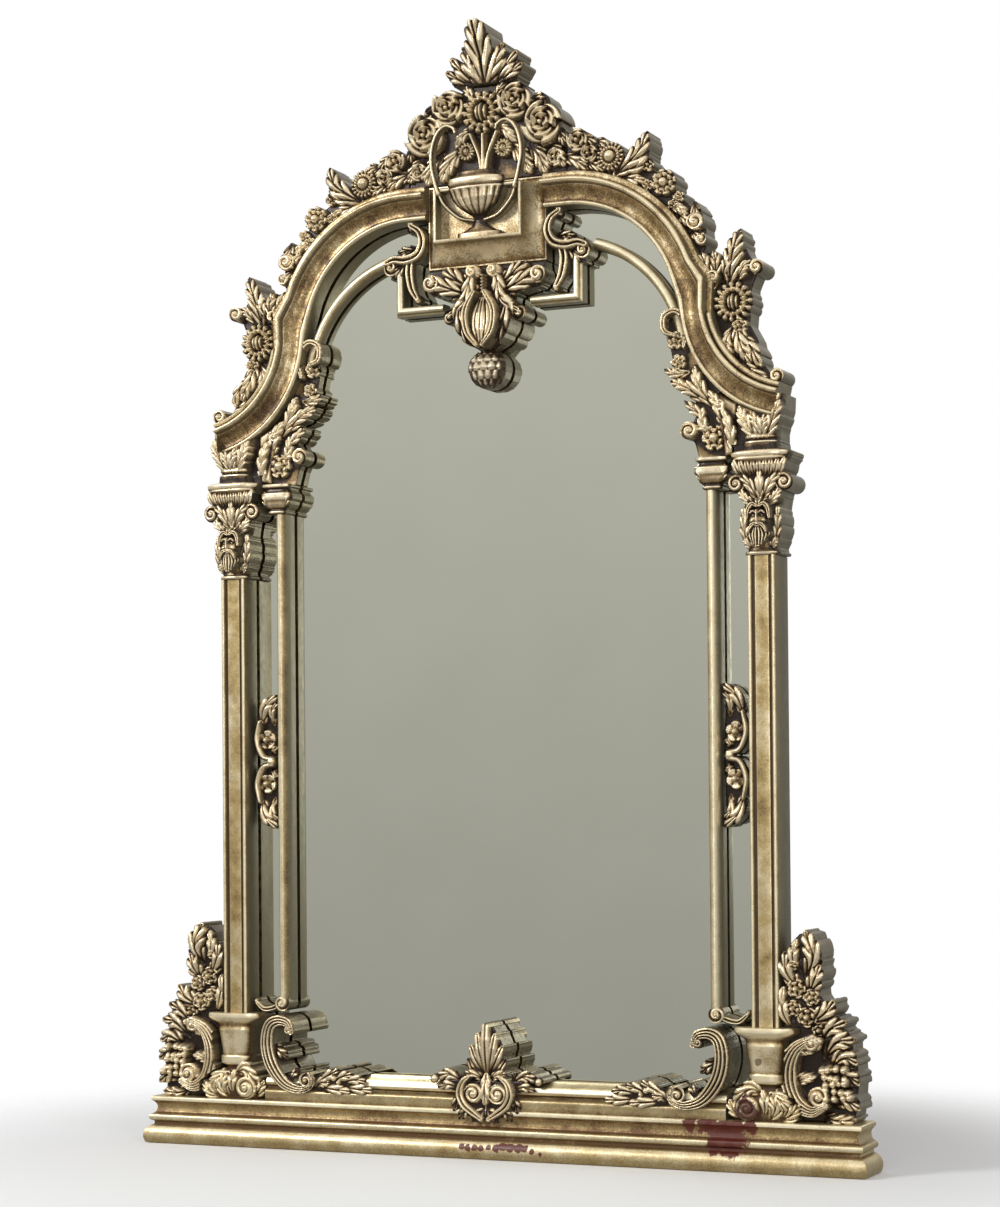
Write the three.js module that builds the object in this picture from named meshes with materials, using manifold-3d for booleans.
// A carved and gilt trumeau mirror: a moulded plinth carries two pilasters, their capitals and an
// arched head with a floral crest, round a centre glass, two side strips and two crescent glasses.
//
// Millimetres. X runs along the wall, Z is up and the mirror faces -Y. A depth is measured forwards
// from the face of the glass, so a point at depth d lies at y = -d, and the frame's back is at BACK.

import Module from 'manifold-3d';
import * as THREE from 'three';
import { mergeVertices } from 'three/addons/utils/BufferGeometryUtils.js';

// ---------------------------------------------------------------- driving dimensions

// Seats: what touches keeps this clearance.
const CLEAR = 0.3;

// Glass and backing board, stacked in the frame's rebate.
const GLASS = 5;
const BOARD = 14.7;
const BACK = -(GLASS + CLEAR + BOARD);

// Plinth: projections are measured out from its die, at the front and at both ends.
const PLINTH_HALF_WIDTH = 560;
const PLINTH_DEPTH = 38;
const PLINTH_HEIGHT = 73;
const TORUS_PROJECTION = 26;
const BEAD_PROJECTION = 19;
const FILLET_PROJECTION = 16;
const COVE_PROJECTION = 9;

// Sill rail between the pedestals.
const SILL_HEIGHT = 42;
const SILL_DEPTH = 50;

// Columns: one axis for pedestal, pilaster and capital.
const COLUMN_AXIS = 432;
const PEDESTAL_HEIGHT = 133;
const PEDESTAL_FOOT_HALF = 57;
const PEDESTAL_LIP_HALF = 49;
const PEDESTAL_DEPTH = 58;
const PILASTER_HEIGHT = 674;
const PILASTER_WIDTH = 41;
const PILASTER_DEPTH = 41;
const PANEL_DEPTH = 37;
const GROOVE_DEPTH = 35;
const BEAD_WIDTH = 6;
const GROOVE_WIDTH = 4;
const CAPITAL_HEIGHT = 161;
const CAPITAL_HALF = 27;
const ABACUS_HALF = 47;
const CAPITAL_DEPTH = 44;
const MASK_DEPTH = 62;

// Inner order: a half-round stile and its small capital, between centre glass and side strip.
const STILE_AXIS = 353;
const STILE_WIDTH = 20;
const STILE_DEPTH = 33;
const INNER_CAPITAL_AXIS = 357;
const INNER_CAPITAL_HEIGHT = 46;
const INNER_CAPITAL_HALF = 28;
const INNER_CAPITAL_DEPTH = 39;

// Arched head. Angles of the arch run from straight up, those of the sweep from +X.
const ARCH_CENTRE_X = 131;
const ARCH_RISE = 198;
const ARCH_RADIUS = 208;
const CORNER_ANGLE = 79;
const CORNER_STEP = 11;
const SWEEP_RADIUS = 149;
const SWEEP_START = 171;
const SWEEP_END = 257;
const BAND_WIDTH = 36;
const LEDGE_WIDTH = 14;
const HEAD_DEPTH = 50;
const LIP_DEPTH = 30;

// Slip arch over the joint between centre glass and crescent glass. Its foot lies the inset inside
// the narrowest point of the head.
const SLIP_INSET = 1.95;
const SLIP_RADIUS = 192;
const SLIP_WIDTH = 17;
const SLIP_DEPTH = 18;
const SLIP_RISE = 130;
const SLIP_START = 22;
const SLIP_END = 83;

// Keystone frame, its recess and the urn.
const KEYSTONE_HALF = 97;
const KEYSTONE_FOOT = 112;
const KEYSTONE_DEPTH = 60;
const KEYSTONE_BORDER = 26;
const KEYSTONE_LIP = 4;
const RECESS_DEPTH = 40;
const URN_HALF = 47;
const URN_DEPTH = 74;

// Ears and pendant under the keystone.
const EAR_HALF = 146;
const EAR_DROP = 66;
const EAR_RISE = 10;
const EAR_WIDTH = 14;
const EAR_DEPTH = 28;
const PENDANT_DROP = 130;
const PENDANT_DEPTH = 40;
const CONE_HALF = 31;
const CONE_HEIGHT = 55;
const CONE_DEPTH = 42;

// Crest, measured up from the keystone's top.
const CREST_HEIGHT = 239;
const CREST_LEAF_HEIGHT = 92;
const CREST_DEPTH = 46;
const GROUND_DEPTH = 22;
const BRACKET_GROUND = 30;
const SPANDREL_GROUND = 17;
const ROOT_OVERLAP = 4;

// Lower carvings.
const CARVING_DEPTH = 58;
const FLAT_CARVING_DEPTH = 26;
const PALMETTE_TOP = 200;
const BRACKET_WIDTH = 82;

// Fittings on the back.
const BUTTON_LENGTH = 44;
const BUTTON_WIDTH = 14;
const BUTTON_THICKNESS = 3;
const PIN_RADIUS = 2;
const PIN_HEAD_RADIUS = 4.5;
const PIN_HEAD_THICKNESS = 1.6;
const BUTTON_HEIGHTS = [350, 760];
const HANGER_X = 448;
const HANGER_Z = 985;
const HANGER_WIDTH = 16;
const HANGER_LENGTH = 42;
const HANGER_PLATE = 1.6;
const EYE_WIDTH = 8;
const RING_RADIUS = 12;
const RING_WIRE = 1.6;
const EYE_WALL = 1.4;

// ---------------------------------------------------------------- heights that follow from them

const PEDESTAL_TOP = PLINTH_HEIGHT + PEDESTAL_HEIGHT;
const PILASTER_TOP = PEDESTAL_TOP + PILASTER_HEIGHT;
const CAPITAL_TOP = PILASTER_TOP + CAPITAL_HEIGHT;
const INNER_CAPITAL_TOP = CAPITAL_TOP - 17;
const INNER_CAPITAL_FOOT = INNER_CAPITAL_TOP - INNER_CAPITAL_HEIGHT;
const ARCH_CENTRE_Z = CAPITAL_TOP + ARCH_RISE;
const SLIP_CENTRE_Z = CAPITAL_TOP + SLIP_RISE;
const HEAD_TOP = ARCH_CENTRE_Z + ARCH_RADIUS + LEDGE_WIDTH;
const KEYSTONE_Z = HEAD_TOP - LEDGE_WIDTH - KEYSTONE_FOOT;
const EAR_Z = KEYSTONE_Z - EAR_DROP;
const SEAT_Z = PLINTH_HEIGHT + CLEAR;
const SILL_TOP = PLINTH_HEIGHT + SILL_HEIGHT;
const REBATE_HALF = COLUMN_AXIS + 0.5;
const REBATE_COVER = 2;
const ROOT = GROUND_DEPTH - ROOT_OVERLAP;
const BRACKET_ROOT = BRACKET_GROUND - ROOT_OVERLAP;

// ---------------------------------------------------------------- finishes

const GILT = new THREE.MeshStandardMaterial({ color: 0xb3955f, roughness: 0.42, metalness: 0.75 });
const PALE_GILT = new THREE.MeshStandardMaterial({ color: 0xc9b588, roughness: 0.38, metalness: 0.75 });
const BROWN_GILT = new THREE.MeshStandardMaterial({ color: 0x8a6a3c, roughness: 0.5, metalness: 0.65 });
const SILVERED = new THREE.MeshStandardMaterial({ color: 0xcdd3d0, roughness: 0.04, metalness: 1 });
const PLYWOOD = new THREE.MeshStandardMaterial({ color: 0x9c7c55, roughness: 0.8, metalness: 0 });
const ZINC = new THREE.MeshStandardMaterial({ color: 0xa9acad, roughness: 0.4, metalness: 0.9 });

// ---------------------------------------------------------------- points and curves

const DEGREE = Math.PI / 180;

function at(x, z, depth) {
  return new THREE.Vector3(x, -depth, z);
}

// A point of the arched head, n millimetres outside its bead, at an angle from straight up.
function arch(angle, n) {
  const radius = ARCH_RADIUS + n;
  return [ARCH_CENTRE_X + radius * Math.sin(angle * DEGREE), ARCH_CENTRE_Z + radius * Math.cos(angle * DEGREE)];
}

const [CORNER_X, CORNER_Z] = arch(CORNER_ANGLE, CORNER_STEP);
const SWEEP_X = CORNER_X - SWEEP_RADIUS * Math.cos(SWEEP_START * DEGREE);
const SWEEP_Z = CORNER_Z - SWEEP_RADIUS * Math.sin(SWEEP_START * DEGREE);

// A point of the hollow sweep below the corner, n outside its bead, so towards the sweep's centre.
function sweep(angle, n) {
  const radius = SWEEP_RADIUS - n;
  return [SWEEP_X + radius * Math.cos(angle * DEGREE), SWEEP_Z + radius * Math.sin(angle * DEGREE)];
}

// The mitre between arch and sweep: n runs along it faster than across either band.
function corner(n) {
  const reach = n * 1.32;
  return [CORNER_X + reach * 0.85, CORNER_Z + reach * 0.53];
}

function steps(from, to, count) {
  return Array.from({ length: count + 1 }, (_, i) => from + ((to - from) * i) / count);
}

// Every line along the head turns at these angles, so that neighbours share their chords.
const ARCH_ANGLES = steps(0, CORNER_ANGLE - 8, 7);
const SWEEP_ANGLES = steps(SWEEP_START + 16, SWEEP_END, 7);

// The head's line at offset n, down to the end of the sweep or to a given angle of it.
function headLine(n, end = SWEEP_END) {
  const sweepAngles = SWEEP_ANGLES.filter((angle) => angle < end);
  return [
    ...ARCH_ANGLES.map((angle) => arch(angle, n)),
    corner(n),
    ...[...sweepAngles, end].map((angle) => sweep(angle, n)),
  ];
}

// The same line with the straight length that starts it at the keystone's side.
function headFrom(x, n) {
  return [[x, arch(0, n)[1]], ...headLine(n)];
}

const HEAD_NARROWEST = sweep(SWEEP_START + 16, -BAND_WIDTH)[0];
const SLIP_CENTRE_X = HEAD_NARROWEST - SLIP_INSET - SLIP_RADIUS * Math.sin(SLIP_END * DEGREE);

function slipPoint(angle, radius) {
  return [
    SLIP_CENTRE_X + radius * Math.sin(angle * DEGREE),
    SLIP_CENTRE_Z + radius * Math.cos(angle * DEGREE),
  ];
}

function slipLine(n) {
  return steps(SLIP_START, SLIP_END, 8).map((angle) => slipPoint(angle, SLIP_RADIUS + n));
}

function arcLevels(z, middle, rise, reach, from, to, count) {
  return steps(from, to, count).map((angle) => [
    z + rise * Math.sin(angle * DEGREE),
    middle + reach * Math.cos(angle * DEGREE),
  ]);
}

// ---------------------------------------------------------------- solids

const manifold = await Module();
manifold.setup();

function solidOf(geometry) {
  const bare = geometry.clone();
  bare.deleteAttribute('normal');
  bare.deleteAttribute('uv');
  const merged = mergeVertices(bare, 1e-4);
  return new manifold.Manifold(new manifold.Mesh({
    numProp: 3,
    vertProperties: Float32Array.from(merged.attributes.position.array),
    triVerts: Uint32Array.from(merged.index.array),
  }));
}

function geometryOf(solid) {
  const mesh = solid.getMesh();
  const geometry = new THREE.BufferGeometry();
  geometry.setAttribute('position', new THREE.BufferAttribute(Float32Array.from(mesh.vertProperties), 3));
  geometry.setIndex(new THREE.BufferAttribute(Uint32Array.from(mesh.triVerts), 1));
  geometry.computeVertexNormals();
  return geometry;
}

function signedVolume(positions, triangles) {
  const point = (i) => new THREE.Vector3(...positions.slice(3 * i, 3 * i + 3));
  let volume = 0;
  for (let i = 0; i < triangles.length; i += 3) {
    volume += point(triangles[i]).dot(point(triangles[i + 1]).cross(point(triangles[i + 2]))) / 6;
  }
  return volume;
}

// Skins rings of equally many points and closes both ends. With a section, the outline that every
// ring follows, its triangles close the ends; without one a fan about the ring's middle does.
function loft(rings, section = null) {
  const count = rings[0].length;
  const positions = rings.flat().flatMap((p) => [p.x, p.y, p.z]);
  const triangles = [];
  for (let r = 0; r + 1 < rings.length; r += 1) {
    for (let i = 0; i < count; i += 1) {
      const a = r * count + i;
      const b = r * count + ((i + 1) % count);
      triangles.push(a, b, b + count, a, b + count, a + count);
    }
  }
  const last = (rings.length - 1) * count;
  if (section) {
    const clockwise = THREE.ShapeUtils.isClockWise(section);
    for (const [a, b, c] of THREE.ShapeUtils.triangulateShape(section, [])) {
      const turned = THREE.ShapeUtils.isClockWise([section[a], section[b], section[c]]) !== clockwise;
      const [p, q] = turned ? [b, a] : [a, b];
      triangles.push(q, p, c, last + p, last + q, last + c);
    }
  } else {
    for (const start of [0, last]) {
      const ring = rings[start / count];
      const middle = ring.reduce((sum, p) => sum.add(p), new THREE.Vector3()).divideScalar(count);
      const index = positions.length / 3;
      positions.push(middle.x, middle.y, middle.z);
      for (let i = 0; i < count; i += 1) {
        const next = (i + 1) % count;
        const [p, q] = start === 0 ? [next, i] : [i, next];
        triangles.push(start + p, start + q, index);
      }
    }
  }
  if (signedVolume(positions, triangles) < 0) {
    triangles.reverse();
  }
  const geometry = new THREE.BufferGeometry();
  geometry.setAttribute('position', new THREE.Float32BufferAttribute(positions, 3));
  geometry.setIndex(triangles);
  return solidOf(geometry);
}

function unite(parts) {
  return parts.reduce((whole, part) => whole.add(part));
}

function cutBy(solid, cutters) {
  return cutters.reduce((whole, cutter) => whole.subtract(cutter), solid);
}

function mirrored(geometry) {
  const copy = geometry.clone();
  copy.scale(-1, 1, 1);
  copy.index.array.reverse();
  copy.computeVertexNormals();
  return copy;
}

// ---------------------------------------------------------------- shapes of this kind of frame

function block(x0, x1, z0, z1, d0, d1) {
  const box = new THREE.BoxGeometry(x1 - x0, d1 - d0, z1 - z0);
  box.translate((x0 + x1) / 2, -(d0 + d1) / 2, (z0 + z1) / 2);
  return solidOf(box);
}

// A flat piece with an outline in the wall's plane, between two depths.
function sheet(outline, back, front) {
  const shape = new THREE.Shape(outline.map(([x, z]) => new THREE.Vector2(x, z)));
  const body = new THREE.ExtrudeGeometry(shape, { depth: front - back, bevelEnabled: false });
  body.rotateX(Math.PI / 2);
  body.translate(0, -back, 0);
  return solidOf(body);
}

// A ground of carving: a sheet whose outline is a smooth curve through a few points.
function ground(points, back, front, perPoint = 2) {
  const knots = points.map(([x, z]) => new THREE.Vector3(x, z, 0));
  const curve = new THREE.CatmullRomCurve3(knots, true, 'centripetal');
  const outline = curve.getPoints(points.length * perPoint).slice(0, -1).map((p) => [p.x, p.y]);
  return sheet(outline, back, front);
}

// A moulding: its profile [out from the line, depth] is carried between two lines of points,
// the line at offset 0 and the line at the offset of the profile's inner edge.
function moulding(profile, outer, inner, width) {
  const rings = outer.map(([x, z], i) => {
    const [innerX, innerZ] = inner[i];
    return profile.map(([n, d]) => at(x + ((x - innerX) * n) / width, z + ((z - innerZ) * n) / width, d));
  });
  return loft(rings, profile.map(([n, d]) => new THREE.Vector2(n, d)));
}

// A turned member in relief: flat at the back, round or square-shouldered at the front.
// Levels are [height, half width, depth].
function turned(axis, levels, back, { squareness = 3, grow = 0, facets = 6 } = {}) {
  const last = levels.length - 1;
  const rings = levels.map(([z, half, depth], i) => {
    const height = z - (i === 0 ? grow : 0) + (i === last ? grow : 0);
    const side = back + 0.5 * (depth - back);
    const ring = [at(axis + half + grow, height, back), at(axis - half - grow, height, back)];
    for (let k = 0; k <= facets; k += 1) {
      const angle = Math.PI * (1 - k / facets);
      const across = Math.sign(Math.cos(angle)) * Math.abs(Math.cos(angle)) ** (2 / squareness);
      const out = Math.sin(angle) ** (2 / squareness);
      ring.push(at(axis + across * (half + grow), height, side + out * (depth + grow - side)));
    }
    return ring;
  });
  return loft(rings);
}

const LEAF_SECTION = [[-1, 0], [-1, 0.5], [0, 1], [1, 0.5], [1, 0]];
const SCROLL_SECTION = [[-1, 0], [-0.8, 1], [0.8, 1], [1, 0]];

// Carries a section [across, rise] along a curve in the wall's plane; widths are half widths.
function ribbon(points, widths, back, front, section, count) {
  const knots = points.map(([x, z]) => new THREE.Vector3(x, z, 0));
  const curve = new THREE.CatmullRomCurve3(knots, false, 'centripetal');
  const rings = [];
  for (let i = 0; i <= count; i += 1) {
    const t = i / count;
    const centre = curve.getPointAt(t);
    const along = curve.getTangentAt(t);
    const place = t * (widths.length - 1);
    const low = Math.min(Math.floor(place), widths.length - 2);
    const width = widths[low] + (widths[low + 1] - widths[low]) * (place - low);
    rings.push(section.map(([across, rise]) => at(
      centre.x - along.y * width * across,
      centre.y + along.x * width * across,
      back + (front - back) * rise,
    )));
  }
  return loft(rings);
}

function leaf(points, width, back, front, count = 3) {
  return ribbon(points, [0.5 * width, width, 0.85 * width, 0.1 * width], back, front, LEAF_SECTION, count);
}

function scroll(points, widths, back, front, count = 7) {
  return ribbon(points, widths, back, front, SCROLL_SECTION, count);
}

// A round boss, the eye of a volute: a low dome on a straight wall.
function boss(x, z, radius, back, front, sides = 8) {
  const levels = [[radius, back], [radius, front - 0.35 * radius], [0.7 * radius, front]];
  return loft(levels.map(([r, depth]) => Array.from({ length: sides }, (_, i) => {
    const angle = (2 * Math.PI * i) / sides;
    return at(x + r * Math.cos(angle), z + r * Math.sin(angle), depth);
  })));
}

// A flower: a notched rim, a raised ring of petals and a sunk eye.
function flower(x, z, radius, back, front, petals = 5) {
  const sides = petals * 2;
  const levels = [
    [0.85, back, 0],
    [1, front - 0.4 * radius, 0.16],
    [0.62, front, 0.1],
    [0.25, front - 0.12 * radius, 0],
  ];
  return loft(levels.map(([share, depth, notch]) => Array.from({ length: sides }, (_, i) => {
    const angle = (2 * Math.PI * i) / sides;
    const r = radius * share * (i % 2 === 0 ? 1 - notch : 1);
    return at(x + r * Math.cos(angle), z + r * Math.sin(angle), depth);
  })));
}

function bothSides(points) {
  const left = points.map(([x, z]) => [-x, z]).reverse();
  return [...points, ...left];
}

// ---------------------------------------------------------------- the mirror, piece by piece

const trumeau = new THREE.Group();

function add(name, solid, finish) {
  const mesh = new THREE.Mesh(geometryOf(solid), finish.clone());
  mesh.name = name;
  trumeau.add(mesh);
}

// Right-hand and left-hand pieces of one shape, made on the right.
function addPair(name, solid, finish) {
  const geometry = geometryOf(solid);
  for (const [side, shape] of [['right', geometry], ['left', mirrored(geometry)]]) {
    const mesh = new THREE.Mesh(shape, finish.clone());
    mesh.name = `${side}_${name}`;
    trumeau.add(mesh);
  }
}

// Rebate: the space of glass and board, bounded by the columns, the plinth and the head's bead.
function rebateOutline(grow) {
  const half = REBATE_HALF + grow;
  const offset = grow - REBATE_COVER;
  const reach = SWEEP_RADIUS - offset;
  const meet = Math.acos((half - SWEEP_X) / reach) / DEGREE;
  return bothSides([...headLine(offset, 360 - meet), [half, SEAT_Z - grow]]);
}
const rebate = sheet(rebateOutline(CLEAR), BACK - 1, CLEAR);

// Plinth: one length of torus, bead, cove and fillet, returned at both ends.
{
  const levels = [
    ...arcLevels(11, 14, 15, TORUS_PROJECTION - 14, -47, 75, 6),
    [33, 13],
    ...arcLevels(40, BEAD_PROJECTION - 6, 6, 6, -75, 75, 4),
    [47, 12],
    [50, COVE_PROJECTION + 1],
    [55, COVE_PROJECTION],
    [60, COVE_PROJECTION + 1],
    [64, FILLET_PROJECTION - 3],
    [66, FILLET_PROJECTION],
    [71, FILLET_PROJECTION],
    [PLINTH_HEIGHT, FILLET_PROJECTION - 3],
  ];
  levels[0][0] = 0;
  const rings = levels.map(([z, out]) => {
    const half = PLINTH_HALF_WIDTH + out;
    const front = PLINTH_DEPTH + out;
    return [at(-half, z, BACK), at(half, z, BACK), at(half, z, front), at(-half, z, front)];
  });
  add('base_plinth', loft(rings), PALE_GILT);
}

// Pedestals: leafy foot, waist and square-shouldered cup, cut back behind for the rebate.
function pedestal(grow = 0) {
  const base = PLINTH_HEIGHT;
  const levels = [
    [base + CLEAR, PEDESTAL_FOOT_HALF - 7, PEDESTAL_DEPTH - 8],
    [base + 12, PEDESTAL_FOOT_HALF, PEDESTAL_DEPTH - 2],
    [base + 27, PEDESTAL_FOOT_HALF - 2, PEDESTAL_DEPTH - 2],
    [base + 39, 38, 50],
    [base + 46, 22, 44],
    [base + 51, 22, 44],
    [base + 54, 29, 50],
    [base + 66, 29, 50],
    [base + 68, 27, 49],
    [base + 77, 27, 49],
    [base + 112, 32, 54],
    [base + 117, 34, 54],
    [base + 123, PEDESTAL_LIP_HALF - 3, PEDESTAL_DEPTH],
    [base + 126, PEDESTAL_LIP_HALF, PEDESTAL_DEPTH + 2],
    [PEDESTAL_TOP, PEDESTAL_LIP_HALF, PEDESTAL_DEPTH + 2],
  ];
  return turned(COLUMN_AXIS, levels, BACK - grow, { grow });
}
addPair('pedestal', cutBy(pedestal(), [rebate]), GILT);

// Turn button pins: screws in the back of the pilasters, each with a head behind its button.
const BUTTON_X = COLUMN_AXIS + 0.5 * (PILASTER_WIDTH / 2 + 0.8);
const BUTTON_FRONT = BACK - CLEAR;
const BUTTON_BACK = BUTTON_FRONT - BUTTON_THICKNESS;
function pin(z) {
  const root = 1;
  const length = root + CLEAR + BUTTON_THICKNESS + CLEAR;
  const profile = [
    [0, 0],
    [PIN_RADIUS, 0],
    [PIN_RADIUS, length],
    [PIN_HEAD_RADIUS, length],
    [PIN_HEAD_RADIUS - 0.6, length + PIN_HEAD_THICKNESS],
    [0, length + PIN_HEAD_THICKNESS],
  ].map(([r, y]) => new THREE.Vector2(r, y));
  const body = new THREE.LatheGeometry(profile, 8);
  body.translate(BUTTON_X, -BACK - root, z);
  return solidOf(body);
}

// Pilasters: bead, groove, flat panel, groove, bead; the outer half runs back to the wall.
function pilaster() {
  const half = PILASTER_WIDTH / 2;
  const side = [
    [-half, CLEAR],
    [-half, PILASTER_DEPTH - 2],
    [-half + 2, PILASTER_DEPTH],
    [-half + BEAD_WIDTH - 2, PILASTER_DEPTH],
    [-half + BEAD_WIDTH, GROOVE_DEPTH],
    [-half + BEAD_WIDTH + GROOVE_WIDTH, GROOVE_DEPTH - 0.5],
    [-half + BEAD_WIDTH + GROOVE_WIDTH + 0.5, PANEL_DEPTH],
  ];
  const other = side.slice(1).map(([x, d]) => [-x, d]).reverse();
  const step = REBATE_HALF + CLEAR - COLUMN_AXIS;
  const rear = [[half, BACK], [step, BACK], [step, CLEAR]];
  const profile = [...side, ...other, ...rear];
  const section = profile.map(([x, d]) => new THREE.Vector2(x, d));
  const rings = [PEDESTAL_TOP + CLEAR, PILASTER_TOP - CLEAR]
    .map((z) => profile.map(([x, d]) => at(COLUMN_AXIS + x, z, d)));
  return loft(rings, section);
}
addPair('pilaster', unite([pilaster(), ...BUTTON_HEIGHTS.map(pin)]), GILT);

// Capitals: necking, bell with a volute at each side, abacus and the block the arch stands on.
const CAPITAL_FOOT = PILASTER_TOP;
function capital(grow = 0) {
  const foot = CAPITAL_FOOT;
  const levels = [
    [foot, 24, 40],
    [foot + 3, CAPITAL_HALF, 43],
    [foot + 6, 24, 40],
    [foot + 50, 26, 40],
    [foot + 95, 34, 40],
    [foot + 110, 34, CAPITAL_DEPTH - 2],
    [foot + 132, 40, CAPITAL_DEPTH + 3],
    [foot + 138, ABACUS_HALF - 2, CAPITAL_DEPTH + 6],
    [foot + 146, ABACUS_HALF, CAPITAL_DEPTH + 8],
    [foot + 149, ABACUS_HALF - 3, CAPITAL_DEPTH + 6],
    [foot + 151, CAPITAL_HALF + 1, CAPITAL_DEPTH],
    [CAPITAL_TOP, CAPITAL_HALF, CAPITAL_DEPTH],
  ];
  const bell = turned(COLUMN_AXIS, levels, BACK - grow, { grow });
  const volutes = [-1, 1].map((side) => {
    const x = COLUMN_AXIS + side * (ABACUS_HALF - 11);
    return boss(x, foot + 103, 13 + grow, BACK - grow, CAPITAL_DEPTH + grow);
  });
  return unite([bell, ...volutes]);
}
addPair('capital', cutBy(capital(), [rebate]), GILT);

// Masks: a bearded head in high relief on each bell.
{
  const foot = CAPITAL_FOOT;
  const head = turned(COLUMN_AXIS, [
    [foot + 13, 5, MASK_DEPTH - 12],
    [foot + 20, 12, MASK_DEPTH - 8],
    [foot + 32, 17, MASK_DEPTH - 5],
    [foot + 44, 18, MASK_DEPTH],
    [foot + 60, 19, MASK_DEPTH - 2],
    [foot + 70, 18, MASK_DEPTH - 5],
    [foot + 78, 12, MASK_DEPTH - 12],
  ], CAPITAL_DEPTH - 8, { squareness: 2 });
  addPair('capital_mask', cutBy(head, [capital(CLEAR)]), PALE_GILT);
}

// Sill rail over the foot of the centre glass.
{
  const top = SILL_TOP;
  const profile = [
    [SEAT_Z, CLEAR],
    [SEAT_Z, SILL_DEPTH],
    [top - 27, SILL_DEPTH],
    [top - 23, SILL_DEPTH - 7],
    [top - 19, SILL_DEPTH - 10],
    [top - 18, SILL_DEPTH - 5],
    [top - 12, SILL_DEPTH - 4],
    [top - 8, SILL_DEPTH - 6],
    [top - 3, 22],
    [top, 12],
    [top, CLEAR],
  ];
  const half = COLUMN_AXIS - PEDESTAL_FOOT_HALF - CLEAR;
  const rings = [-half, half].map((x) => profile.map(([z, d]) => at(x, z, d)));
  add('sill_rail', loft(rings, profile.map(([z, d]) => new THREE.Vector2(z, d))), PALE_GILT);
}
// What lies on the sill and the plinth's front starts in front of them.
const sillSpace = [
  block(-COLUMN_AXIS, COLUMN_AXIS, SEAT_Z - CLEAR, SILL_TOP + CLEAR, BACK, SILL_DEPTH + CLEAR),
  block(-COLUMN_AXIS, COLUMN_AXIS, 0, SEAT_Z, BACK, PLINTH_DEPTH + FILLET_PROJECTION + CLEAR),
];

// Inner capitals: a stepped cap on the stile, level with the capitals' abacus.
{
  const foot = INNER_CAPITAL_FOOT;
  const half = INNER_CAPITAL_HALF;
  const cap = turned(INNER_CAPITAL_AXIS, [
    [foot, 13, 33],
    [foot + 3, 16, 36],
    [foot + 6, 15, 34],
    [foot + 9, 20, 35],
    [foot + 14, half - 5, INNER_CAPITAL_DEPTH - 2],
    [foot + 20, half - 5, INNER_CAPITAL_DEPTH - 2],
    [foot + 22, half, INNER_CAPITAL_DEPTH],
    [foot + 32, half, INNER_CAPITAL_DEPTH],
    [foot + 36, half - 4, INNER_CAPITAL_DEPTH],
    [foot + 40, half - 6, INNER_CAPITAL_DEPTH - 1],
    [foot + 42, half - 3, INNER_CAPITAL_DEPTH + 2],
    [INNER_CAPITAL_TOP, half - 3, INNER_CAPITAL_DEPTH + 2],
  ], CLEAR, { squareness: 4 });
  addPair('inner_capital', cutBy(cap, [capital(CLEAR)]), PALE_GILT);
}

// Inner stiles: half round, with a ball-ended scroll for a foot.
function stile(grow = 0) {
  const half = STILE_WIDTH / 2 + grow;
  const profile = arcLevels(0, 12, half, STILE_DEPTH - 12 + grow, -90, 90, 8);
  const section = [[-half, CLEAR], ...profile, [half, CLEAR]];
  const foot = PEDESTAL_TOP + 14;
  const rings = [foot, INNER_CAPITAL_FOOT - CLEAR + grow]
    .map((z) => section.map(([x, d]) => at(STILE_AXIS + x, z, d)));
  const shaft = loft(rings, section.map(([x, d]) => new THREE.Vector2(x, d)));
  const ball = boss(STILE_AXIS + 2, foot + 2, 12 + grow, CLEAR, STILE_DEPTH + 5 + grow);
  const curl = scroll([
    [STILE_AXIS + 8, foot + 2],
    [STILE_AXIS + 22, foot - 6],
    [STILE_AXIS + 36, foot - 7],
    [STILE_AXIS + 48, foot + 3],
  ], [5 + grow, 5 + grow, 5 + grow, 3 + grow], CLEAR, STILE_DEPTH - 3 + grow, 6);
  return unite([shaft, ball, curl]);
}
addPair('inner_stile', stile(), PALE_GILT);

// Head: ledge, bead, wide scotia and lip, from the keystone's side down to the sweep's end.
const HEAD_START = KEYSTONE_HALF + CLEAR;
function head() {
  const width = BAND_WIDTH;
  const profile = [
    [LEDGE_WIDTH, BACK],
    [LEDGE_WIDTH, HEAD_DEPTH - 15],
    [4.5, HEAD_DEPTH - 13],
    [3.2, HEAD_DEPTH - 3],
    [0, HEAD_DEPTH],
    [-3.5, HEAD_DEPTH - 4],
    [-5, HEAD_DEPTH - 10],
    [-13, HEAD_DEPTH - 15],
    [7 - width, LIP_DEPTH + 2.5],
    [3 - width, LIP_DEPTH + 3],
    [-width, LIP_DEPTH - 1],
    [-width, CLEAR],
    [-REBATE_COVER + CLEAR, CLEAR],
    [-REBATE_COVER + CLEAR, BACK],
  ];
  return moulding(profile, headFrom(HEAD_START, 0), headFrom(HEAD_START, -width), width);
}
addPair('outer_arch', head(), BROWN_GILT);

function bandSpace(from, to) {
  const outer = headFrom(0, to);
  const inner = headFrom(0, from);
  return sheet([...outer, ...inner.reverse()], BACK - 1, URN_DEPTH);
}
const headSpace = bandSpace(-BAND_WIDTH - CLEAR, LEDGE_WIDTH + CLEAR);

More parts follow.
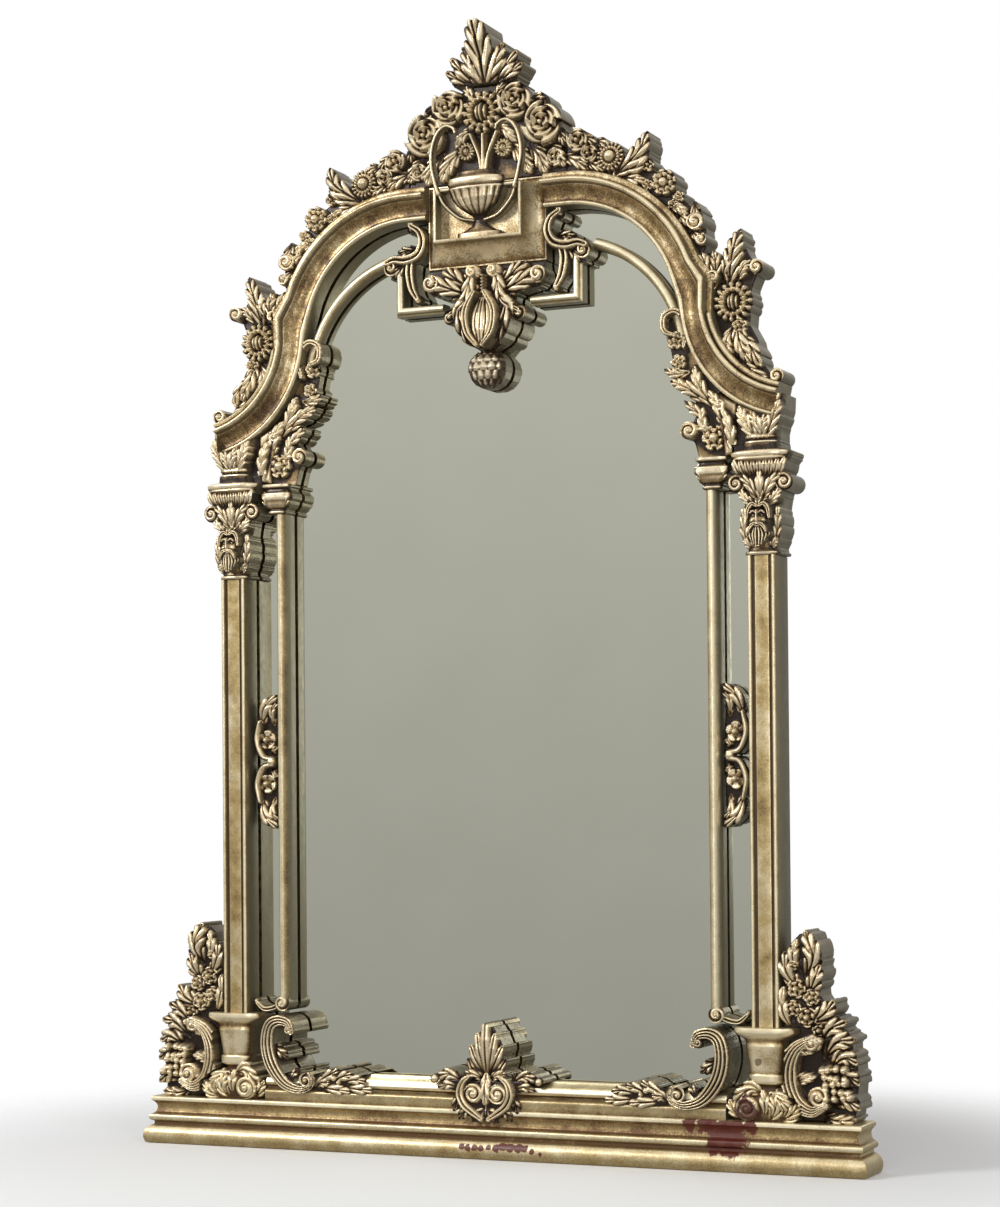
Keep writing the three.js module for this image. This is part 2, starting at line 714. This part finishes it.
// Slip arch: a half-round bead over the joint of the glasses.
function slip(grow = 0) {
  const half = SLIP_WIDTH / 2 + grow;
  const profile = [
    [-half, CLEAR],
    [-half, 7 + grow],
    [-0.6 * half, SLIP_DEPTH - 3 + grow],
    [0, SLIP_DEPTH + grow],
    [0.6 * half, SLIP_DEPTH - 3 + grow],
    [half, 7 + grow],
    [half, CLEAR],
  ];
  return moulding(profile, slipLine(0), slipLine(-10), 10);
}
addPair('slip_arch', slip(), PALE_GILT);

// Keystone: a mitred frame that slopes up from the head to a lip round the urn's recess.
const KEYSTONE_TOP = HEAD_TOP;
{
  const rectangle = (inset, bottomInset, depth) => {
    const half = KEYSTONE_HALF - inset;
    const low = KEYSTONE_Z + bottomInset;
    const high = KEYSTONE_TOP - Math.min(inset, 0.5 * KEYSTONE_BORDER);
    return [at(-half, low, depth), at(half, low, depth), at(half, high, depth), at(-half, high, depth)];
  };
  const border = KEYSTONE_BORDER;
  const rise = KEYSTONE_DEPTH - GROUND_DEPTH;
  const rings = [
    rectangle(0, 0, BACK),
    rectangle(0, 0, GROUND_DEPTH),
    rectangle(0.3 * border, 0.4 * border, GROUND_DEPTH + 0.1 * rise),
    rectangle(0.65 * border, 0.85 * border, GROUND_DEPTH + 0.35 * rise),
    rectangle(0.85 * border, 1.15 * border, GROUND_DEPTH + 0.7 * rise),
    rectangle(border, 1.3 * border, KEYSTONE_DEPTH),
    rectangle(border + KEYSTONE_LIP, 1.3 * border + KEYSTONE_LIP, KEYSTONE_DEPTH),
  ];
  const recessHalf = KEYSTONE_HALF - border - KEYSTONE_LIP;
  const recess = block(
    -recessHalf, recessHalf,
    KEYSTONE_Z + 1.3 * border + KEYSTONE_LIP, KEYSTONE_TOP - 0.5 * border - KEYSTONE_LIP,
    RECESS_DEPTH, KEYSTONE_DEPTH + 1,
  );
  add('keystone_frame', cutBy(loft(rings), [recess, rebate]), BROWN_GILT);
}
const RECESS_FLOOR = KEYSTONE_Z + 1.3 * KEYSTONE_BORDER + KEYSTONE_LIP;

// Urn: foot, stem, gadrooned bowl and neck in relief, with two loop handles.
{
  const foot = RECESS_FLOOR + CLEAR;
  const rim = KEYSTONE_TOP - 2;
  const bowl = turned(0, [
    [foot, 37, URN_DEPTH - 20],
    [foot + 7, 36, URN_DEPTH - 20],
    [foot + 8, 24, URN_DEPTH - 22],
    [foot + 17, 12, URN_DEPTH - 23],
    [foot + 25, 8, URN_DEPTH - 24],
    [foot + 30, 11, URN_DEPTH - 23],
    [foot + 35, 18, URN_DEPTH - 18],
    [foot + 46, 33, URN_DEPTH - 8],
    [rim - 16, URN_HALF - 3, URN_DEPTH - 2],
    [rim - 6, URN_HALF, URN_DEPTH],
    [rim, URN_HALF, URN_DEPTH],
    [rim + 2, 34, URN_DEPTH - 3],
    [rim + 9, 30, URN_DEPTH - 5],
  ], RECESS_DEPTH + CLEAR, { squareness: 2.2 });
  const handles = [-1, 1].map((side) => scroll([
    [side * (URN_HALF - 4), rim - 6],
    [side * (URN_HALF + 15), rim + 6],
    [side * (URN_HALF + 24), rim + 36],
    [side * (URN_HALF + 18), rim + 72],
  ], [4, 4, 4, 3.5], CREST_DEPTH + 10, CREST_DEPTH + 19, 8));
  const lipSpace = block(
    -KEYSTONE_HALF, KEYSTONE_HALF,
    KEYSTONE_TOP - 0.5 * KEYSTONE_BORDER - KEYSTONE_LIP - CLEAR, KEYSTONE_TOP + CLEAR,
    BACK, KEYSTONE_DEPTH + CLEAR,
  );
  const crestSpace = block(-150, 150, KEYSTONE_TOP, KEYSTONE_TOP + CREST_HEIGHT, BACK, CREST_DEPTH + 5);
  add('urn_relief', cutBy(unite([bowl, ...handles]), [lipSpace, crestSpace]), GILT);
}

const keystoneSpace = block(
  -KEYSTONE_HALF - CLEAR, KEYSTONE_HALF + CLEAR,
  KEYSTONE_Z - CLEAR, KEYSTONE_TOP + CLEAR, BACK - 1, URN_DEPTH,
);

// Ears: a mitred half-round bar, down beside the keystone and in towards the pendant.
const EAR_TOP = KEYSTONE_Z + 1;
const EAR_END = 72;
function earMoulding(grow = 0) {
  const half = EAR_WIDTH / 2 + grow;
  const profile = [
    [-half, CLEAR],
    [-half, EAR_DEPTH - 8 + grow],
    [-0.5 * half, EAR_DEPTH - 2 + grow],
    [0.1 * half, EAR_DEPTH + grow],
    [0.6 * half, EAR_DEPTH - 6 + grow],
    [half, EAR_DEPTH - 9 + grow],
    [half, CLEAR],
  ];
  const low = EAR_Z + half - grow;
  const outer = [[EAR_HALF, EAR_TOP + grow], [EAR_HALF, low], [EAR_END - grow, low]];
  const inner = [[EAR_HALF - 1, EAR_TOP + grow], [EAR_HALF - 1, low + 1], [EAR_END - grow, low + 1]];
  return moulding(profile, outer, inner, 1);
}
addPair('ear_moulding', earMoulding(), PALE_GILT);

// Ear scrolls: a carved C between head and ear, with a tongue that hangs inside the ear.
{
  const x = EAR_HALF;
  const z = EAR_TOP + EAR_RISE;
  const front = EAR_DEPTH + 8;
  const sweepRound = scroll([
    [x - 24, z + 58],
    [x - 38, z + 48],
    [x - 43, z + 30],
    [x - 34, z + 13],
    [x - 14, z + 7],
    [x + 8, z + 9],
    [x + 22, z + 2],
  ], [5, 6, 6, 7, 7, 6, 4], CLEAR, front);
  const curl = boss(x + 12, z - 2, 13, CLEAR, front);
  const tongue = scroll([
    [x - 22, z + 6],
    [x - 20, z - 20],
    [x - 24, z - 42],
    [x - 32, z - 54],
  ], [7, 6, 5, 4], CLEAR, front - 4, 6);
  const drop = boss(x - 33, z - 54, 7, CLEAR, front - 4, 8);
  const cuts = [keystoneSpace, headSpace, slip(CLEAR), earMoulding(CLEAR)];
  addPair('ear_scroll', cutBy(unite([sweepRound, curl, tongue, drop]), cuts), GILT);
}

// Pendant: two acanthus curls and a cupped leaf under the keystone.
const PENDANT_FOOT = KEYSTONE_Z - PENDANT_DROP;
{
  const top = KEYSTONE_Z - CLEAR;
  const foot = PENDANT_FOOT;
  const front = PENDANT_DEPTH;
  const half = [
    [30, top],
    [94, top],
    [103, top - 16],
    [102, top - 32],
    [88, top - 38],
    [70, top - 36],
    [55, top - 48],
    [48, top - 62],
    [58, top - 66],
    [62, top - 78],
    [52, top - 86],
    [40, foot + 50],
    [34, foot + 34],
    [29, foot + 14],
    [14, foot + 1],
  ];
  const leaves = [-1, 1].flatMap((side) => [
    leaf([[side * 36, top - 2], [side * 34, top - 50], [side * 20, foot + 18]], 9, CLEAR, front + 12),
    boss(side * 86, top - 22, 13, CLEAR, front + 8),
    boss(side * 60, top - 76, 9, CLEAR, front + 2, 8),
    boss(side * 17, top - 12, 10, CLEAR, front + 8, 8),
  ]);
  const tongue = leaf([[0, top - 30], [0, foot + 50], [0, foot + 6]], 17, CLEAR, front + 20);
  const body = unite([ground(bothSides(half), CLEAR, front, 1), tongue, ...leaves]);
  const aboveTop = block(-200, 200, top, top + 60, CLEAR - 1, URN_DEPTH);
  add('pendant_leaf', cutBy(body, [aboveTop]), GILT);
}

// Cone: a drop of scales below the pendant.
{
  const top = PENDANT_FOOT - CLEAR;
  const share = (part) => top - CONE_HEIGHT * (1 - part);
  add('pine_cone_drop', turned(0, [
    [share(0), 0.25 * CONE_HALF, 0.4 * CONE_DEPTH],
    [share(0.1), 0.55 * CONE_HALF, 0.7 * CONE_DEPTH],
    [share(0.3), 0.87 * CONE_HALF, 0.93 * CONE_DEPTH],
    [share(0.55), CONE_HALF, CONE_DEPTH],
    [share(0.78), 0.93 * CONE_HALF, 0.96 * CONE_DEPTH],
    [share(0.93), 0.72 * CONE_HALF, 0.8 * CONE_DEPTH],
    [share(1), 0.55 * CONE_HALF, 0.7 * CONE_DEPTH],
  ], CLEAR, { squareness: 2 }), BROWN_GILT);
}

// Crest: a standing leaf over a bouquet of roses, above the keystone.
const CREST_TIP = KEYSTONE_TOP + CREST_HEIGHT;
const LEAF_FOOT = CREST_TIP - CREST_LEAF_HEIGHT;
{
  const tip = CREST_TIP;
  const foot = LEAF_FOOT;
  const half = [
    [14, tip - 24],
    [20, tip - 44],
    [28, tip - 47],
    [45, tip - 37],
    [47, tip - 54],
    [42, tip - 66],
    [62, tip - 62],
    [58, tip - 80],
    [44, foot],
    [16, foot],
  ];
  const outline = [[0, tip], ...half, ...half.map(([x, z]) => [-x, z]).reverse()];
  const lobes = [-1, 1].flatMap((side) => [
    leaf([[side * 7, foot + 6], [side * 28, tip - 60], [side * 42, tip - 41]], 10, ROOT, CREST_DEPTH - 6),
    leaf([[side * 16, foot + 4], [side * 40, tip - 76], [side * 57, tip - 65]], 9, ROOT, CREST_DEPTH - 10),
  ]);
  const middle = leaf([[0, foot + 2], [0, tip - 45], [0, tip - 2]], 15, ROOT, CREST_DEPTH);
  const body = unite([sheet(outline, BACK, GROUND_DEPTH), middle, ...lobes]);
  const below = block(-100, 100, foot - 60, foot, BACK - 1, URN_DEPTH);
  add('crest_leaf', cutBy(body, [below]), GILT);
}

const GARLAND_START = ARCH_CENTRE_X;
{
  const foot = KEYSTONE_TOP + CLEAR;
  const top = LEAF_FOOT - CLEAR;
  const front = CREST_DEPTH;
  const half = [
    [20, top],
    [50, top - 5],
    [76, top - 14],
    [88, top - 28],
    [106, top - 44],
    [124, top - 56],
    [129, top - 82],
    [128, top - 112],
    [GARLAND_START - CLEAR, foot],
  ];
  const blooms = [-1, 1].flatMap((side) => [
    flower(side * 53, foot + 112, 27, ROOT, front + 2),
    flower(side * 97, foot + 70, 32, ROOT, front + 2),
    boss(side * 86, foot + 108, 12, ROOT, front - 8),
    boss(side * 30, foot + 48, 13, ROOT, front - 4),
    flower(side * 112, foot + 26, 17, ROOT, front - 4),
    leaf([[side * 6, foot + 4], [side * 22, foot + 20], [side * 48, foot + 52]], 7, ROOT, front - 6),
  ]);
  const daisy = flower(0, foot + 91, 21, ROOT, front + 4, 6);
  const body = unite([sheet(bothSides(half), BACK, GROUND_DEPTH), daisy, ...blooms]);
  const bounds = [
    block(-200, 200, foot - 60, foot, BACK - 1, URN_DEPTH),
    block(-200, 200, top, top + 60, BACK - 1, URN_DEPTH),
    block(GARLAND_START - CLEAR, 240, foot - 60, top, BACK - 1, URN_DEPTH),
    block(-240, -GARLAND_START + CLEAR, foot - 60, top, BACK - 1, URN_DEPTH),
  ];
  add('crest_bouquet', cutBy(body, bounds), GILT);
}

// Garlands: roses, a standing leaf and buds along the outside of the arch.
const GARLAND_END = 66;
{
  const front = CREST_DEPTH;
  const edge = LEDGE_WIDTH + CLEAR;
  const inner = [60, 50, 40, 30, 20, 10, 0].map((angle) => arch(angle, edge));
  const outer = [
    [0, 80], [5, 84], [10, 64], [17, 63], [21, 52], [24.5, 62], [27, 88], [28.6, 88], [30, 62],
    [35, 54], [41, 55], [47, 44], [53, 48], [59, 50], [63, 42], [GARLAND_END - 1, 34],
  ].map(([angle, n]) => arch(angle, n));
  const first = arch(GARLAND_END, edge);
  const blooms = [
    [4, 62, 17], [9.5, 44, 15], [16.5, 40, 22], [39.5, 35, 20], [50, 28, 17],
  ].map(([angle, n, radius]) => flower(...arch(angle, n), radius, ROOT, front));
  const standing = leaf([arch(21, 26), arch(25, 46), arch(27.6, 84)], 15, ROOT, front - 4);
  const low = leaf([arch(27, 18), arch(32, 30), arch(34, 46)], 11, ROOT, front - 6);
  const curl = boss(...arch(57.5, 34), 14, ROOT, front - 6);
  const bud = boss(...arch(63, 24), 10, ROOT, front - 10);
  const body = unite([
    sheet([...outer, first, ...inner], BACK, GROUND_DEPTH), standing, low, curl, bud, ...blooms,
  ]);
  const start = block(-200, GARLAND_START, ARCH_CENTRE_Z, CREST_TIP, BACK - 1, URN_DEPTH);
  const [endX, endZ] = arch(GARLAND_END, 0);
  const end = block(endX - 20, endX + 200, ARCH_CENTRE_Z, endZ, BACK - 1, URN_DEPTH);
  addPair('crest_garland', cutBy(body, [headSpace, start, end]), GILT);
}

// Shoulders: acanthus, daisy and falling leaf in the hollow of the sweep.
{
  const front = CREST_DEPTH;
  const [, high] = arch(GARLAND_END, 0);
  const top = high - CLEAR;
  const x = SWEEP_X;
  const z = SWEEP_Z;
  const outline = [
    [x - 158, top], [x - 138, top], [x - 122, z + 62], [x - 108, z + 63], [x - 92, z + 84],
    [x - 82, z + 62], [x - 80, z + 50], [x - 58, z + 46], [x - 56, z + 32], [x - 74, z + 23],
    [x - 72, z - 20], [x - 82, z - 38], [x - 74, z - 60], [x - 62, z - 73], [x - 60, z - 100],
    [x - 50, z - 113], [x - 28, z - 112], [x - 24, z - 128], [x - 36, z - 134],
    [x - 90, z - 118], [x - 130, z - 70], [x - 145, z], [x - 150, z + 20],
  ];
  const parts = [
    flower(x - 103, z - 10, 29, ROOT, front, 6),
    leaf([[x - 140, z + 18], [x - 136, z + 44], [x - 146, top - 4]], 10, ROOT, front - 4),
    leaf([[x - 120, z + 24], [x - 108, z + 50], [x - 93, z + 80]], 11, ROOT, front - 4),
    boss(x - 66, z + 38, 12, ROOT, front - 8),
    leaf([[x - 100, z - 44], [x - 88, z - 72], [x - 64, z - 108]], 12, ROOT, front - 2),
    boss(x - 37, z - 122, 11, ROOT, front - 4),
  ];
  const above = block(x - 200, x, top, top + 60, BACK - 1, URN_DEPTH);
  addPair('shoulder_carving', cutBy(unite([sheet(outline, BACK, GROUND_DEPTH), ...parts]), [headSpace, above]), GILT);
}

// Spandrels: carving over the glass inside the sweep, down to the inner capital.
{
  const z = INNER_CAPITAL_TOP + CLEAR;
  const front = 35;
  const outline = [
    [292, z + 222], [312, z + 214], [350, z + 150], [386, z + 96], [388, z + 40], [384, z],
    [332, z], [322, z + 20], [308, z + 34], [308, z + 52], [324, z + 62], [342, z + 74],
    [338, z + 88], [322, z + 102], [304, z + 130], [288, z + 150], [280, z + 176], [281, z + 206],
  ];
  const parts = [
    flower(302, z + 138, 14, SPANDREL_GROUND - ROOT_OVERLAP, front - 3),
    flower(292, z + 172, 14, SPANDREL_GROUND - ROOT_OVERLAP, front - 3),
    boss(298, z + 204, 14, SPANDREL_GROUND - ROOT_OVERLAP, front - 4),
    flower(360, z + 32, 21, SPANDREL_GROUND - ROOT_OVERLAP, front),
    boss(321, z + 42, 13, SPANDREL_GROUND - ROOT_OVERLAP, front - 2),
    leaf([[376, z + 62], [352, z + 96], [318, z + 116]], 12, SPANDREL_GROUND - ROOT_OVERLAP, front - 2),
    leaf([[344, z + 54], [330, z + 72], [336, z + 90]], 8, SPANDREL_GROUND - ROOT_OVERLAP, front - 4),
  ];
  const below = block(200, 460, z - 40, z, CLEAR - 1, URN_DEPTH);
  const beside = block(COLUMN_AXIS - 38, COLUMN_AXIS + 60, z - 20, z + 120, CLEAR - 1, URN_DEPTH);
  const body = unite([sheet(outline, CLEAR, SPANDREL_GROUND), ...parts]);
  addPair('spandrel_carving', cutBy(body, [headSpace, slip(CLEAR), below, beside, capital(CLEAR)]), GILT);
}

// Arch feet: leafy blocks that spread from the capitals to the ends of the sweep.
{
  const foot = CAPITAL_TOP + CLEAR;
  const parts = [-1, 0, 1].map((side) => leaf([
    [COLUMN_AXIS + side * 12, foot + 2],
    [COLUMN_AXIS + side * 18, foot + 22],
    [COLUMN_AXIS + side * 28, foot + 46],
  ], 9, CAPITAL_DEPTH - 12, CAPITAL_DEPTH + 8));
  const body = turned(COLUMN_AXIS, [
    [foot, CAPITAL_HALF, CAPITAL_DEPTH - 3],
    [foot + 9, CAPITAL_HALF - 1, CAPITAL_DEPTH - 4],
    [foot + 28, CAPITAL_HALF + 2, CAPITAL_DEPTH - 2],
    [foot + 47, CAPITAL_HALF + 8, CAPITAL_DEPTH],
    [foot + 68, CAPITAL_HALF + 9, CAPITAL_DEPTH],
  ], BACK);
  addPair('arch_foot', cutBy(unite([body, ...parts]), [headSpace, rebate]), GILT);
}

// Palmette in the middle of the sill, with a bud at each side.
{
  const top = PALMETTE_TOP;
  const base = SILL_TOP;
  const front = CARVING_DEPTH;
  const half = [
    [13, top - 4], [27, top - 16], [37, top - 34], [36, top - 54], [24, base + 10], [44, base - 6],
    [46, base - 24], [34, base - 42], [16, base - 54], [6, base - 60],
  ];
  const parts = [-1, 1].flatMap((side) => [
    leaf([[side * 3, base + 10], [side * 14, base + 34], [side * 24, top - 18]], 9, CLEAR, front),
    leaf([[side * 6, base + 8], [side * 24, base + 22], [side * 35, base + 48]], 8, CLEAR, front - 2),
    boss(side * 27, base - 22, 16, CLEAR, front + 5),
    scroll([[side * 34, base - 8], [side * 58, base + 4], [side * 80, base + 3]], [7, 5, 4], CLEAR, front - 2, 4),
    boss(side * 84, base + 3, 8, CLEAR, front - 1, 8),
  ]);
  const middle = leaf([[0, base + 10], [0, top - 30], [0, top]], 9, CLEAR, front + 2);
  const tulip = leaf([[0, base + 12], [0, base - 20], [0, base - 58]], 13, CLEAR, front + 6);
  const body = unite([ground(bothSides(half), CLEAR, front - 6, 1), middle, tulip, ...parts]);
  add('sill_palmette', cutBy(body, sillSpace), GILT);
}

// Sill sprays: laurel lying along the sill, one beside each inner scroll.
const SPRAY_END = 285;
{
  const z = SILL_TOP;
  const front = CARVING_DEPTH;
  const outline = [
    [188, z - 20], [202, z - 6], [226, z + 4], [244, z + 11], [264, z + 8],
    [SPRAY_END - CLEAR, z], [SPRAY_END - CLEAR, z - 26], [262, z - 30], [230, z - 27], [204, z - 27],
  ];
  const leaves = [
    [[276, z - 16], [250, z - 20], [226, z - 22]],
    [[276, z - 10], [258, z - 4], [242, z + 8]],
    [[240, z - 12], [220, z - 6], [202, z - 8]],
    [[236, z - 18], [212, z - 20], [190, z - 20]],
  ].map((spine) => leaf(spine, 8, CLEAR, front));
  const body = unite([sheet(outline, CLEAR, front - 4), ...leaves]);
  addPair('sill_spray', cutBy(body, sillSpace), GILT);
}

// Inner scrolls: a big C with a leafy cusp, on the sill beside each pedestal.
{
  const x = SPRAY_END + 14;
  const z = SILL_TOP;
  const front = CARVING_DEPTH;
  const band = scroll([
    [x + 30, z + 66],
    [x + 36, z + 80],
    [x + 54, z + 84],
    [x + 71, z + 72],
    [x + 75, z + 42],
    [x + 66, z + 10],
    [x + 44, z - 18],
    [x + 20, z - 27],
    [x + 2, z - 22],
  ], [5, 6, 7, 8, 9, 9, 8, 7, 6], CLEAR, front, 14);
  const parts = [
    boss(x + 1, z - 10, 14, CLEAR, front + 2),
    boss(x + 34, z + 66, 9, CLEAR, front, 8),
    leaf([[x + 66, z + 34], [x + 54, z + 30], [x + 46, z + 26]], 9, CLEAR, front - 4),
    leaf([[x + 68, z + 60], [x + 54, z + 58], [x + 44, z + 52]], 8, CLEAR, front - 4),
  ];
  const beside = block(0, SPRAY_END, 0, z + 60, CLEAR - 1, URN_DEPTH);
  addPair('inner_scroll', cutBy(unite([band, ...parts]), [...sillSpace, beside, pedestal(CLEAR), stile(CLEAR)]), GILT);
}

// Brackets: scroll, grapes and a cascade of leaves outside each pedestal.
{
  const x = COLUMN_AXIS + PEDESTAL_FOOT_HALF;
  const z = SEAT_Z;
  const front = CARVING_DEPTH;
  const reach = BRACKET_WIDTH;
  const outline = [
    [x - 6, z], [x + reach - 10, z], [x + reach - 5, z + 22], [x + reach, z + 56],
    [x + reach, z + 84], [x + reach - 8, z + 96], [x + reach - 6, z + 116], [x + reach - 15, z + 134],
    [x + reach - 17, z + 149], [x + reach - 34, z + 151], [x + reach - 44, z + 164],
    [x + 26, z + 180], [x + 24, z + 216], [x + 16, z + 240], [x + 6, z + 264], [x - 6, z + 270],
    [x - 18, z + 262], [x - 30, z + 240], [x - 34, z + 200], [x - 34, z + 150], [x - 26, z + 90],
    [x - 14, z + 40],
  ];
  const grapes = [
    [24, 64, 10], [42, 66, 10], [33, 50, 10], [52, 50, 10], [44, 34, 9],
  ].map(([dx, dz, radius]) => boss(x + dx, z + dz, radius, BRACKET_ROOT, front - 2, 6));
  const parts = [
    scroll([
      [x + 10, z + 108], [x - 8, z + 104], [x - 24, z + 78], [x - 20, z + 46], [x + 2, z + 25],
      [x + 20, z + 27],
    ], [6, 8, 9, 9, 8, 6], BRACKET_ROOT, front, 10),
    boss(x + 8, z + 116, 13, BRACKET_ROOT, front),
    boss(x + 18, z + 40, 13, BRACKET_ROOT, front),
    leaf([[x + reach - 22, z + 84], [x + reach - 18, z + 100], [x + reach - 8, z + 118]], 9, BRACKET_ROOT, front - 8),
    leaf([[x + reach - 34, z + 112], [x + reach - 28, z + 132], [x + reach - 18, z + 148]], 9, BRACKET_ROOT, front - 8),
    leaf([[x + reach - 16, z + 6], [x + reach - 18, z + 40], [x + reach - 5, z + 74]], 11, BRACKET_ROOT, front - 4),
    flower(x - 14, z + 150, 16, BRACKET_ROOT, front),
    flower(x + 10, z + 160, 15, BRACKET_ROOT, front - 4),
    leaf([[x + 6, z + 176], [x + 14, z + 196], [x + 20, z + 220]], 12, BRACKET_ROOT, front - 6),
    leaf([[x - 6, z + 206], [x + 2, z + 236], [x - 4, z + 266]], 12, BRACKET_ROOT, front - 8),
    flower(x - 34, z + 222, 14, BRACKET_ROOT, front - 4),
    flower(x - 22, z + 188, 13, BRACKET_ROOT, front - 4),
  ];
  const below = block(x - 100, x + 160, z - 30, z, BACK - 1, URN_DEPTH);
  const body = unite([sheet(outline, BACK, BRACKET_GROUND), ...grapes, ...parts]);
  const shaft = block(
    COLUMN_AXIS - PILASTER_WIDTH, COLUMN_AXIS + PILASTER_WIDTH / 2 + CLEAR,
    PEDESTAL_TOP, PILASTER_TOP, BACK - 1, PILASTER_DEPTH + CLEAR,
  );
  addPair('bracket', cutBy(body, [below, pedestal(CLEAR), shaft, rebate]), GILT);
}

// Stile ornaments: two flowers in facing scrolls, half way up each side strip.
{
  const x = (STILE_AXIS + STILE_WIDTH / 2 + COLUMN_AXIS - PILASTER_WIDTH / 2) / 2;
  const z = PEDESTAL_TOP + 389;
  const front = FLAT_CARVING_DEPTH;
  const parts = [-1, 1].flatMap((side) => [
    scroll([
      [x - 14, z + side * 4], [x + 4, z + side * 9], [x + 14, z + side * 36], [x + 10, z + side * 68],
      [x - 4, z + side * 92], [x - 19, z + side * 100],
    ], [6, 5, 4.5, 5, 5, 4], CLEAR, front, 10),
    flower(x - 1, z + side * 38, 14, CLEAR, front),
    leaf([[x - 17, z + side * 56], [x - 8, z + side * 68], [x + 6, z + side * 76]], 6, CLEAR, front - 5),
  ]);
  const clasp = boss(x - 11, z, 10, CLEAR, front + 2);
  addPair('stile_ornament', cutBy(unite([clasp, ...parts]), [stile(CLEAR)]), GILT);
}

// Glass: five sheets that meet under the stiles and the slip arches.
const JOINT = CLEAR / 2;
const STRIP_TOP = INNER_CAPITAL_TOP + 8;
function slipRound(radius) {
  return steps(90, 0, 10).map((angle) => slipPoint(angle, radius));
}
{
  const half = STILE_AXIS - JOINT;
  const centre = [
    [half, SEAT_Z],
    [half, STRIP_TOP - JOINT],
    [SLIP_CENTRE_X + SLIP_RADIUS - JOINT, STRIP_TOP - JOINT],
    ...slipRound(SLIP_RADIUS - JOINT),
  ];
  add('center_mirror', sheet(bothSides(centre), -GLASS, 0), SILVERED);

  const strip = [
    [STILE_AXIS + JOINT, SEAT_Z],
    [REBATE_HALF, SEAT_Z],
    [REBATE_HALF, STRIP_TOP - JOINT],
    [STILE_AXIS + JOINT, STRIP_TOP - JOINT],
  ];
  addPair('side_mirror', sheet(strip, -GLASS, 0), SILVERED);

  const rim = rebateOutline(0);
  const right = rim.slice(0, rim.length / 2 - 1);
  const crescent = [
    ...slipRound(SLIP_RADIUS + JOINT),
    [JOINT, SLIP_CENTRE_Z + SLIP_RADIUS + JOINT],
    [JOINT, right[0][1]],
    ...right,
    [REBATE_HALF, STRIP_TOP + JOINT],
    [SLIP_CENTRE_X + SLIP_RADIUS + JOINT, STRIP_TOP + JOINT],
  ];
  addPair('crescent_mirror', sheet(crescent, -GLASS, 0), SILVERED);
}

// Backing board behind the glass, flush with the frame's back.
add('back_panel', sheet(rebateOutline(0), BACK, -GLASS - CLEAR), PLYWOOD);

// Turn buttons: zinc bars on the pins, lying across the board's edge.
BUTTON_HEIGHTS.forEach((z, index) => {
  const radius = BUTTON_WIDTH / 2;
  const shape = new THREE.Shape();
  shape.absarc(0, 0, radius, -Math.PI / 2, Math.PI / 2, false);
  shape.absarc(-BUTTON_LENGTH + BUTTON_WIDTH, 0, radius, Math.PI / 2, 1.5 * Math.PI, false);
  const hole = new THREE.Path();
  hole.absarc(0, 0, PIN_RADIUS + CLEAR, 0, 2 * Math.PI, true);
  shape.holes.push(hole);
  const body = new THREE.ExtrudeGeometry(shape, {
    depth: BUTTON_THICKNESS, bevelEnabled: false, curveSegments: 4,
  });
  body.rotateX(Math.PI / 2);
  body.translate(BUTTON_X, -BUTTON_BACK, z);
  addPair(`turn_button_${index + 1}`, solidOf(body), ZINC);
});

// Hangers: a strap with an eye on the back of each capital, and a ring that hangs in it.
{
  const inner = RING_WIRE + (EYE_WIDTH / 2) ** 2 / (2 * RING_RADIUS) + CLEAR;
  const outer = inner + EYE_WALL;
  const eyeDepth = BACK - CLEAR - outer;
  const eye = new THREE.Shape();
  eye.absarc(0, 0, outer, 0, 2 * Math.PI, false);
  const bore = new THREE.Path();
  bore.absarc(0, 0, inner, 0, 2 * Math.PI, true);
  eye.holes.push(bore);
  const eyeBody = new THREE.ExtrudeGeometry(eye, {
    depth: EYE_WIDTH, bevelEnabled: false, curveSegments: 6,
  });
  eyeBody.rotateY(Math.PI / 2);
  eyeBody.translate(HANGER_X - EYE_WIDTH / 2, -eyeDepth, HANGER_Z);
  const strap = block(
    HANGER_X - HANGER_WIDTH / 2, HANGER_X + HANGER_WIDTH / 2,
    HANGER_Z + inner + 0.5 * EYE_WALL, HANGER_Z + HANGER_LENGTH,
    BACK - CLEAR - HANGER_PLATE, BACK - CLEAR,
  );
  const neck = block(
    HANGER_X - EYE_WIDTH / 2, HANGER_X + EYE_WIDTH / 2,
    HANGER_Z + inner + 0.2, HANGER_Z + inner + 3,
    BACK - CLEAR - outer, BACK - CLEAR,
  );
  addPair('hanger_strap', unite([solidOf(eyeBody), strap, neck]), ZINC);

  const ring = new THREE.TorusGeometry(RING_RADIUS, RING_WIRE, 6, 16);
  ring.rotateX(Math.PI / 2);
  ring.translate(HANGER_X, -eyeDepth, HANGER_Z - RING_RADIUS);
  addPair('hanging_ring', solidOf(ring), ZINC);
}

// The origin is under the middle of the whole, on the floor.
const bounds = new THREE.Box3().setFromObject(trumeau);
trumeau.position.set(0, -(bounds.min.y + bounds.max.y) / 2, 0);

export default trumeau;
